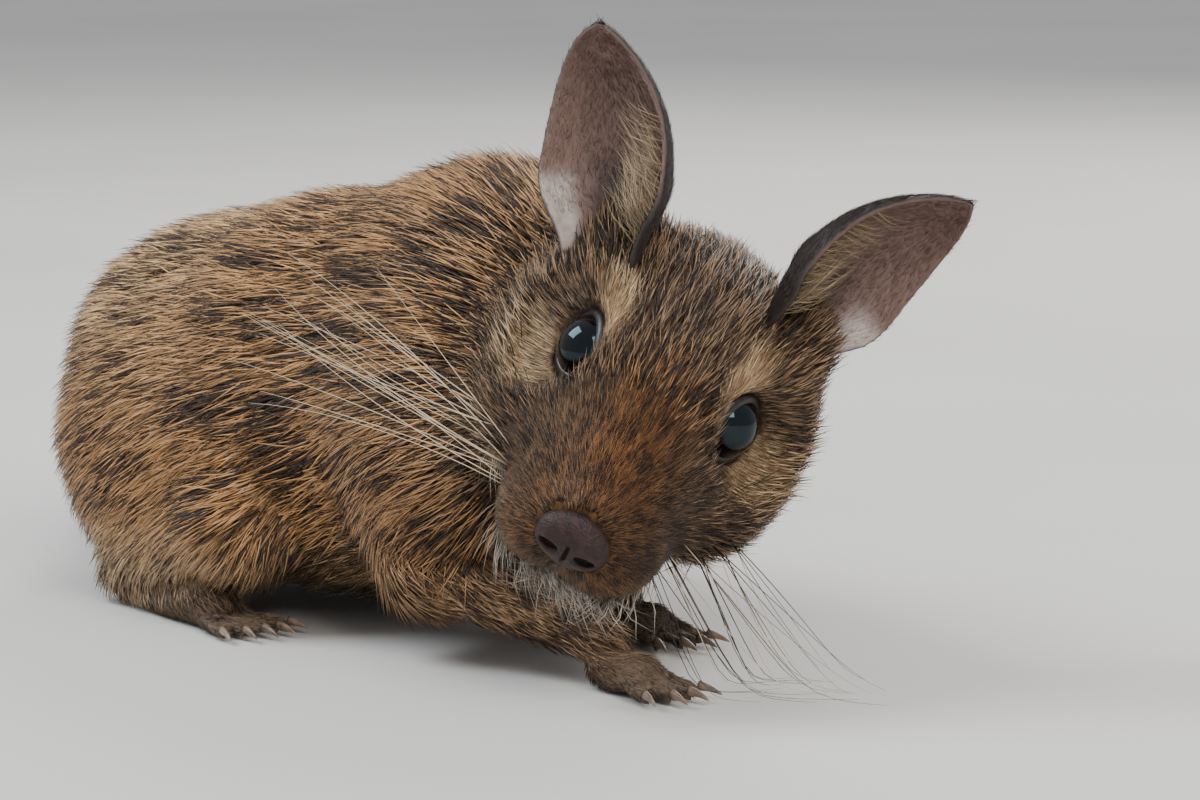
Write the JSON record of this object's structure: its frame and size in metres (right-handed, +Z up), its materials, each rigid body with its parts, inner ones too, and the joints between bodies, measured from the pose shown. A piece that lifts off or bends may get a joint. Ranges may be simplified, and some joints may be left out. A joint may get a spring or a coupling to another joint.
{
  "type": "degu",
  "caption": "Life-size still degu lying low on all four feet with its head turned and tipped, tail laid on the floor.",
  "frame": {"origin": "on the floor under the middle of the animal's bounding box", "axes": "+X to the front of the body, +Y to the animal's left, +Z up from the floor"},
  "size_m": [0.206, 0.097, 0.085],
  "materials": {
    "coat": "short streaked brown fur",
    "paw": "pale short-haired skin",
    "tail_tuft": "black brush of hair",
    "ear_skin": "bare dark skin with fine hairs",
    "nose_skin": "moist dark skin",
    "eye": "wet dark gloss",
    "claw": "smooth horn"
  },
  "bodies": {
    "root": {"trunk": "coat", "neck": "coat", "head": "coat", "nose": "nose_skin", "eye_right": "eye", "eye_left": "eye", "ear_right": "ear_skin", "ear_left": "ear_skin", "foreleg_right": "coat", "foreleg_left": "coat", "forepaw_right": "paw", "forepaw_left": "paw", "hind_leg_right": "coat", "hind_leg_left": "coat", "hind_foot_right": "paw", "hind_foot_left": "paw", "tail_base": "coat", "tail_middle": "coat", "tail_tuft": "tail_tuft", "claw_fore_right_1": "claw", "claw_fore_right_2": "claw", "claw_fore_right_3": "claw", "claw_fore_right_4": "claw", "claw_fore_left_1": "claw", "claw_fore_left_2": "claw", "claw_fore_left_3": "claw", "claw_fore_left_4": "claw", "claw_hind_right_1": "claw", "claw_hind_right_2": "claw", "claw_hind_right_3": "claw", "claw_hind_right_4": "claw", "claw_hind_right_5": "claw", "claw_hind_left_1": "claw", "claw_hind_left_2": "claw", "claw_hind_left_3": "claw", "claw_hind_left_4": "claw", "claw_hind_left_5": "claw"}
  },
  "joints": []
}
